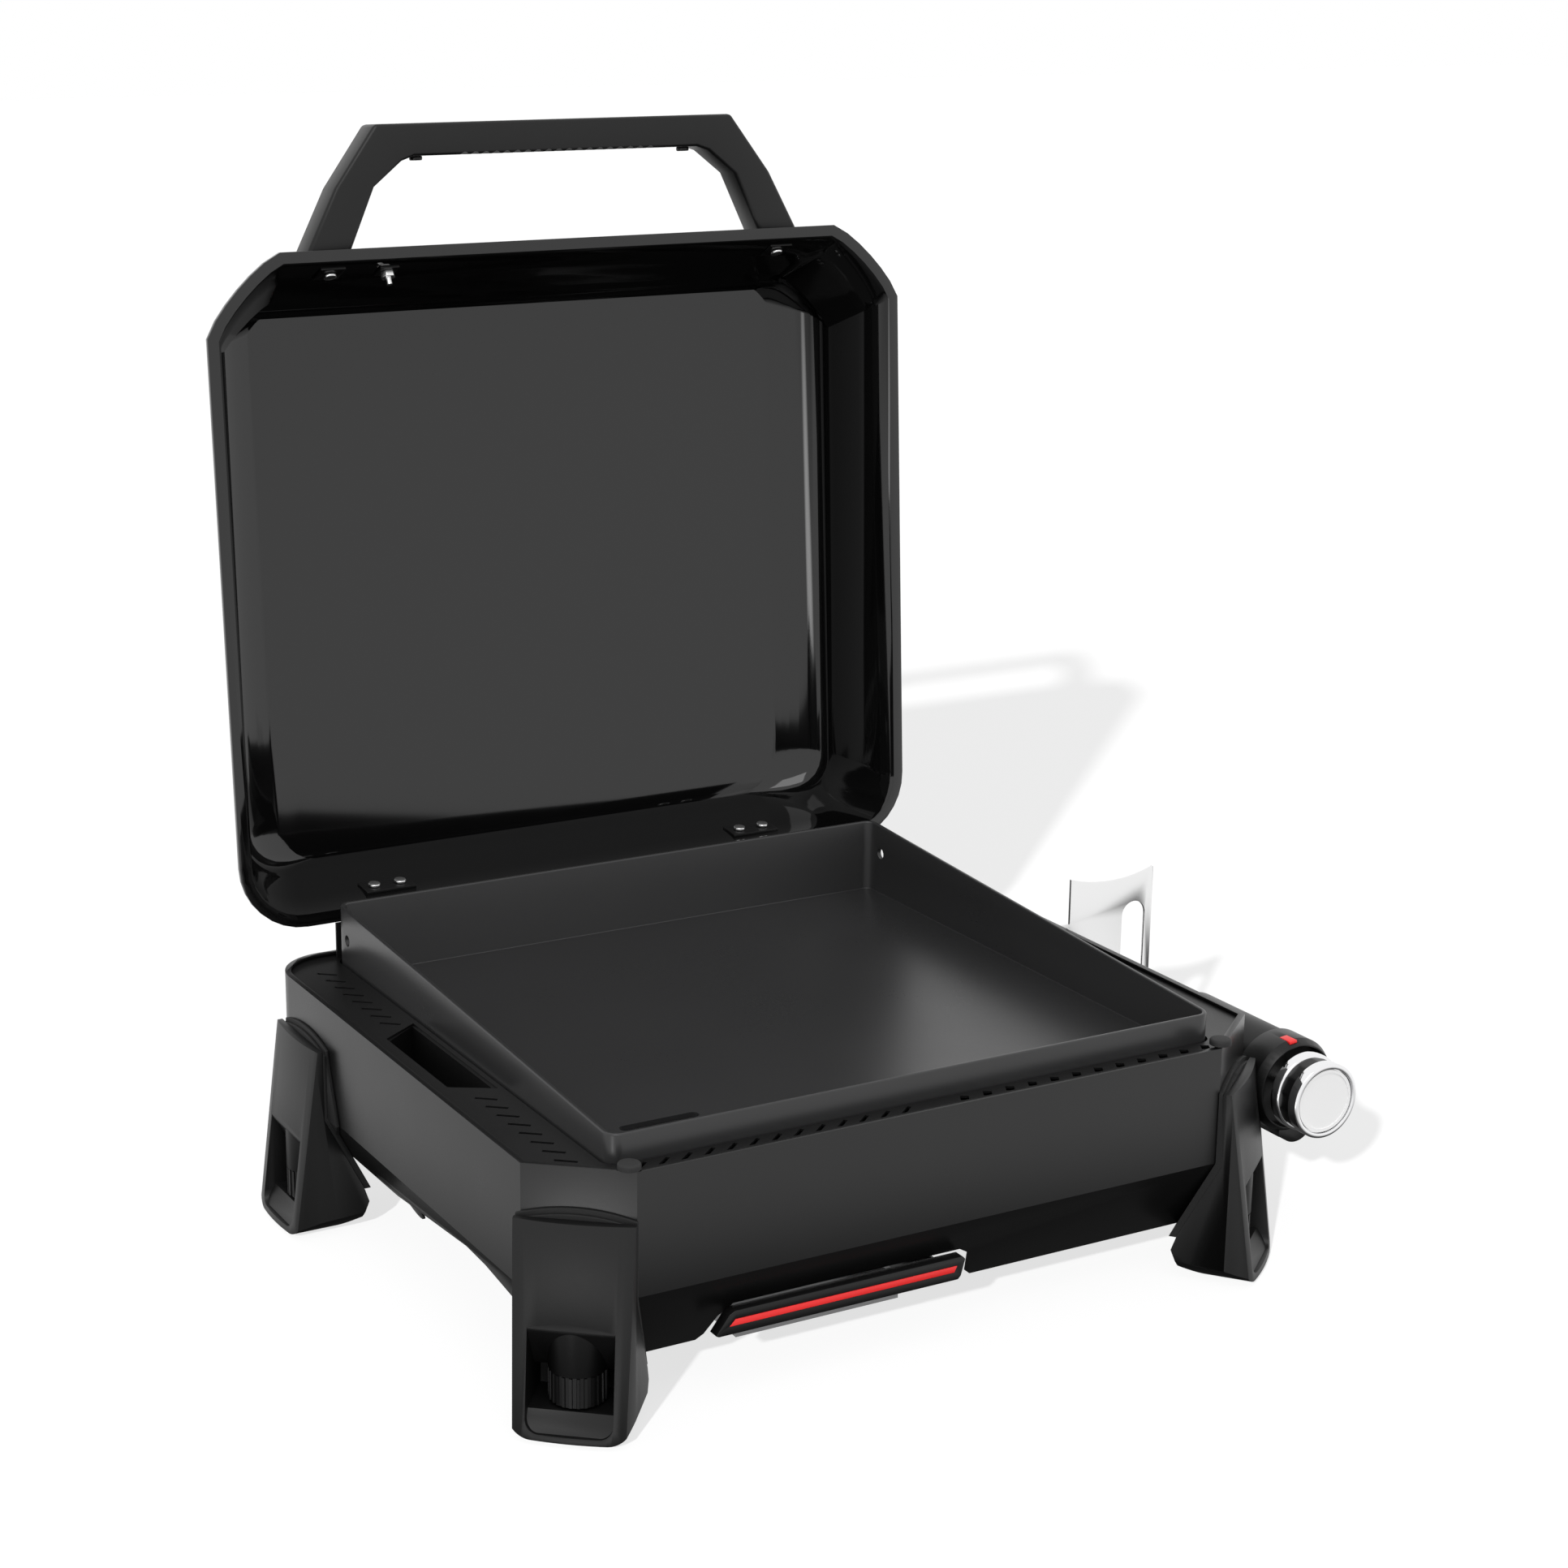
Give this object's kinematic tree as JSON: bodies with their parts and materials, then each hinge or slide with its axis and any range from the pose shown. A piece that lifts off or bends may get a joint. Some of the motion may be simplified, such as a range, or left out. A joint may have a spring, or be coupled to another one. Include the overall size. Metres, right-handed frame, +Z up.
{
  "type": "tabletop gas griddle",
  "caption": "Portable tabletop gas griddle: hinged lid with a bow handle, lift-out pan, slide-out grease tray, side gas knob and screw-levelled legs.",
  "frame": {"origin": "middle of the whole object's box, at table level, with the lid open", "axes": "+X to the cook's right, +Y away from the cook, +Z up"},
  "size_m": [0.6326, 0.6012, 0.7162],
  "materials": {
    "body_steel": "satin dark grey paint on sheet steel",
    "deck_black": "matt black heat-proof coating",
    "griddle_steel": "dark seasoned rolled steel",
    "lid_enamel": "gloss black enamel",
    "black_plastic": "fine-grained black plastic",
    "grey_plastic": "satin dark grey plastic",
    "bright_steel": "bright zinc-plated steel",
    "chrome": "polished chrome",
    "face_white": "pale dial face",
    "brass": "plain brass",
    "red": "bright red",
    "rubber": "black rubber",
    "liner_black": "soft black liner",
    "dull_aluminium": "stamped aluminium"
  },
  "bodies": {
    "chassis": {"body_shell": "body_steel", "deck_frame": "deck_black", "side_scoop": "deck_black", "heat_shield": "bright_steel", "grease_chute": "bright_steel", "burner": "bright_steel", "burner_brackets": "bright_steel", "venturi_tube": "bright_steel", "igniter_electrode": "face_white", "lid_bumpers": "rubber", "hinge_bracket_left": "deck_black", "hinge_bracket_right": "deck_black", "hinge_pins": "bright_steel", "leg_front_left": "grey_plastic", "leg_front_right": "grey_plastic", "leg_rear_left": "grey_plastic", "leg_rear_right": "grey_plastic", "liner_front_left": "liner_black", "liner_front_right": "liner_black", "liner_rear_left": "liner_black", "liner_rear_right": "liner_black", "control_tube": "black_plastic", "tube_bezel": "black_plastic", "index_mark": "red", "tube_saddle": "black_plastic", "valve_body": "brass", "gas_jet": "brass", "regulator": "dull_aluminium", "cylinder_bracket": "bright_steel", "bracket_screws": "bright_steel"},
    "griddle": {"griddle_pan": "griddle_steel"},
    "lid": {"lid_shell": "lid_enamel", "lid_handle": "black_plastic", "handle_nubs": "black_plastic", "handle_washers": "black_plastic", "handle_screws": "bright_steel", "handle_brace_bolt": "bright_steel", "handle_brace_nut": "bright_steel", "hinge_leaf_left": "deck_black", "hinge_leaf_right": "deck_black", "hinge_plates": "deck_black", "hinge_screws": "bright_steel"},
    "tray": {"grease_tray": "body_steel", "tray_handle": "grey_plastic", "tray_stripe": "red"},
    "drip": {"drip_pan": "dull_aluminium"},
    "spindle": {"push_collar": "bright_steel"},
    "knob": {"valve_stem": "bright_steel", "knob_skirt": "chrome", "knob_grip": "black_plastic", "knob_ring": "chrome", "knob_face": "face_white"},
    "wheel_front_left": {"wheel_front_left": "grey_plastic"},
    "foot_front_left": {"foot_front_left": "rubber"},
    "wheel_front_right": {"wheel_front_right": "grey_plastic"},
    "foot_front_right": {"foot_front_right": "rubber"},
    "wheel_rear_left": {"wheel_rear_left": "grey_plastic"},
    "foot_rear_left": {"foot_rear_left": "rubber"},
    "wheel_rear_right": {"wheel_rear_right": "grey_plastic"},
    "foot_rear_right": {"foot_rear_right": "rubber"}
  },
  "joints": [
    {"name": "lid_hinge", "type": "hinge", "parent": "chassis", "child": "lid", "pos_m": [-0.026, 0.18007, 0.1662], "axis": [1, 0, 0], "range_deg": [0, 93.6]},
    {"name": "griddle_lift", "type": "slide", "parent": "chassis", "child": "griddle", "axis": [0, 0, 1], "range_m": [0, 0.12]},
    {"name": "tray_slide", "type": "slide", "parent": "chassis", "child": "tray", "axis": [0, -1, 0], "range_m": [0, 0.13]},
    {"name": "drip_pan_lift", "type": "slide", "parent": "tray", "child": "drip", "axis": [0, 0, 1], "range_m": [0, 0.024]},
    {"name": "knob_push", "type": "slide", "parent": "chassis", "child": "spindle", "axis": [0, 1, 0], "range_m": [0, 0.003], "stiffness_N_per_m": 1500},
    {"name": "knob_turn", "type": "hinge", "parent": "spindle", "child": "knob", "pos_m": [0.269, -0.28393, 0.1115], "axis": [0, 1, 0], "range_deg": [-150, 0]},
    {"name": "front_left_wheel_turn", "type": "hinge", "parent": "chassis", "child": "wheel_front_left", "pos_m": [-0.26178, -0.2603, 0.02], "axis": [0, 0, -1], "range_deg": [0, 720]},
    {"name": "front_left_foot_wind", "type": "slide", "parent": "chassis", "child": "foot_front_left", "axis": [0, 0, -1], "range_m": [0, 0.008]},
    {"name": "front_right_wheel_turn", "type": "hinge", "parent": "chassis", "child": "wheel_front_right", "pos_m": [0.20978, -0.2603, 0.02], "axis": [0, 0, -1], "range_deg": [0, 720]},
    {"name": "front_right_foot_wind", "type": "slide", "parent": "chassis", "child": "foot_front_right", "axis": [0, 0, -1], "range_m": [0, 0.008]},
    {"name": "rear_left_wheel_turn", "type": "hinge", "parent": "chassis", "child": "wheel_rear_left", "pos_m": [-0.2875, 0.08707, 0.02], "axis": [0, 0, -1], "range_deg": [0, 720]},
    {"name": "rear_left_foot_wind", "type": "slide", "parent": "chassis", "child": "foot_rear_left", "axis": [0, 0, -1], "range_m": [0, 0.008]},
    {"name": "rear_right_wheel_turn", "type": "hinge", "parent": "chassis", "child": "wheel_rear_right", "pos_m": [0.2355, 0.08707, 0.02], "axis": [0, 0, -1], "range_deg": [0, 720]},
    {"name": "rear_right_foot_wind", "type": "slide", "parent": "chassis", "child": "foot_rear_right", "axis": [0, 0, -1], "range_m": [0, 0.008]}
  ],
  "couplings": [
    {"joint": "front_left_foot_wind", "follows": "front_left_wheel_turn", "m_per_rad": 0.00063662},
    {"joint": "front_right_foot_wind", "follows": "front_right_wheel_turn", "m_per_rad": 0.00063662},
    {"joint": "rear_left_foot_wind", "follows": "rear_left_wheel_turn", "m_per_rad": 0.00063662},
    {"joint": "rear_right_foot_wind", "follows": "rear_right_wheel_turn", "m_per_rad": 0.00063662}
  ]
}
